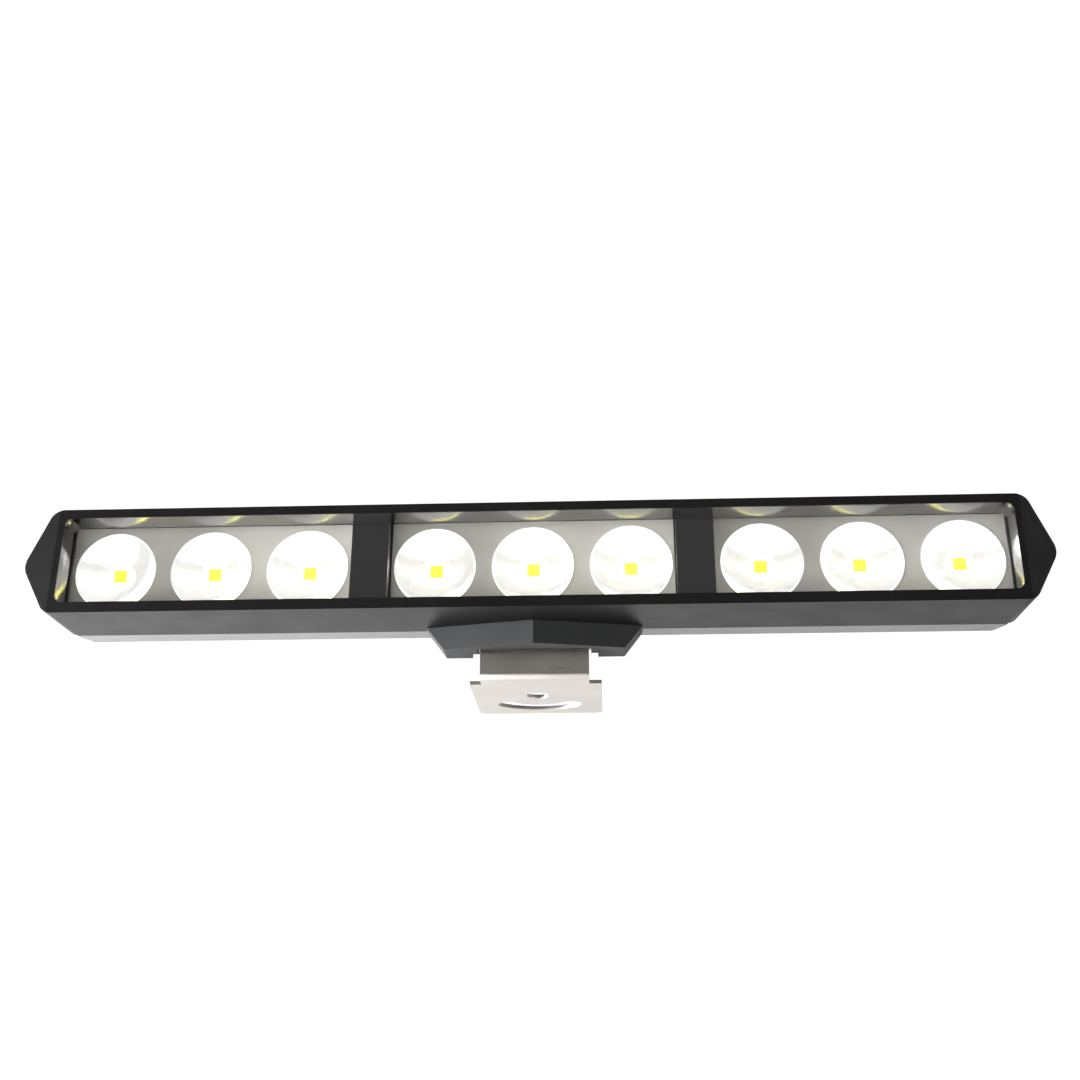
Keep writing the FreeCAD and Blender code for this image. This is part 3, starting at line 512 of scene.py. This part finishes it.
# Two rows of four legs beside the driver's chip.
LEG_X, LEG_PITCH = 2.4 * MM, 1.2 * MM
chip = node_box("driver_chip")[2]
board_low = node_box("driver_board")[0]
legs = [(chip.x + way * LEG_X, board_low.y, chip.z + k * LEG_PITCH)
        for way in (-1, 1) for k in (-1.5, -0.5, 0.5, 1.5)]
pad_grid("chip_legs", legs, (0.5 * MM, 0.22 * MM), 0.25 * MM, SOLDER)

# ------------------------------------------------------------------ stage, light, camera
FLOOR_Z = -0.16
FLOOR_SIZE = 2.6


def stage_floor():
    """Plain pale floor well below the bar, so the camera can look up at it."""
    mesh = bpy.data.meshes.new("floor")
    half = FLOOR_SIZE / 2
    corners = [(-half, -half, FLOOR_Z), (half, -half, FLOOR_Z), (half, half, FLOOR_Z),
               (-half, half, FLOOR_Z)]
    mesh.from_pydata(corners, [], [(0, 1, 2, 3)])
    mesh.materials.append(finish("floor_paper", (0.74, 0.74, 0.74), (0.78, 0.78, 0.78),
                                 (0.7, 0.8), cloud=0.3, grain=2 * MM))
    obj = bpy.data.objects.new("floor", mesh)
    bpy.context.collection.objects.link(obj)


def sky():
    """White studio behind the bar; in front, dim at the horizon and lighter above it."""
    world = bpy.data.worlds.new("studio")
    world.use_nodes = True
    tree = world.node_tree
    background = tree.nodes["Background"]
    coords = tree.nodes.new("ShaderNodeTexCoord")
    split = tree.nodes.new("ShaderNodeSeparateXYZ")
    tree.links.new(coords.outputs["Generated"], split.inputs["Vector"])
    ramps = []
    for axis, start, stop, low, high in (("Z", -0.02, 0.38, 0.07, 0.38),
                                         ("Y", -0.45, 0.45, 0.0, 1.0)):
        ramp = tree.nodes.new("ShaderNodeMapRange")
        ramp.interpolation_type = "SMOOTHSTEP"
        for socket, amount in (("From Min", start), ("From Max", stop), ("To Min", low),
                               ("To Max", high)):
            ramp.inputs[socket].default_value = amount
        tree.links.new(split.outputs[axis], ramp.inputs["Value"])
        ramps.append(ramp.outputs["Result"])
    mix = tree.nodes.new("ShaderNodeMix")
    mix.data_type = "FLOAT"
    tree.links.new(ramps[1], mix.inputs[0])
    tree.links.new(ramps[0], mix.inputs[2])
    behind = 1.10
    mix.inputs[3].default_value = behind
    tree.links.new(mix.outputs[0], background.inputs["Strength"])
    background.inputs["Color"].default_value = (1.0, 0.99, 0.975, 1.0)
    bpy.context.scene.world = world


def area_light(name, place, aim, size, power):
    """Soft rectangular light at a place, aimed at a point."""
    data = bpy.data.lights.new(name, "AREA")
    data.shape = "RECTANGLE"
    data.size, data.size_y = size
    data.energy = power
    obj = bpy.data.objects.new(name, data)
    obj.location = place
    obj.rotation_euler = (Vector(aim) - Vector(place)).to_track_quat("-Z", "Y").to_euler()
    bpy.context.collection.objects.link(obj)


def camera():
    """Low camera, looking up at the bar from just right of its middle."""
    data = bpy.data.cameras.new("camera")
    data.lens = 42.84
    data.sensor_width = 36.0
    data.clip_start = 0.01
    obj = bpy.data.objects.new("camera", data)
    obj.location = (0.01624, -0.30271, -0.0790)
    pitch, yaw, roll = math.radians(21.52), math.radians(2.99), math.radians(0.16)
    obj.rotation_mode = "XYZ"
    turn = (Euler((0, 0, yaw)).to_matrix() @ Euler((math.pi / 2 + pitch, 0, 0)).to_matrix()
            @ Euler((0, 0, roll)).to_matrix())
    obj.rotation_euler = turn.to_euler()
    bpy.context.collection.objects.link(obj)
    bpy.context.scene.camera = obj


stage_floor()
sky()
area_light("floor_wash", (-0.75, 0.6, 0.35), (-0.3, 0.45, FLOOR_Z), (0.6, 0.6), 2.5)
area_light("side_soft", (-0.75, -0.06, 0.0), (0, -0.02, 0.01), (0.3, 0.25), 55.0)
area_light("top_soft", (0.1, -0.4, 0.8), (0, 0, 0.02), (0.8, 0.8), 3.0)
camera()
bpy.context.scene.view_settings.view_transform = "Standard"
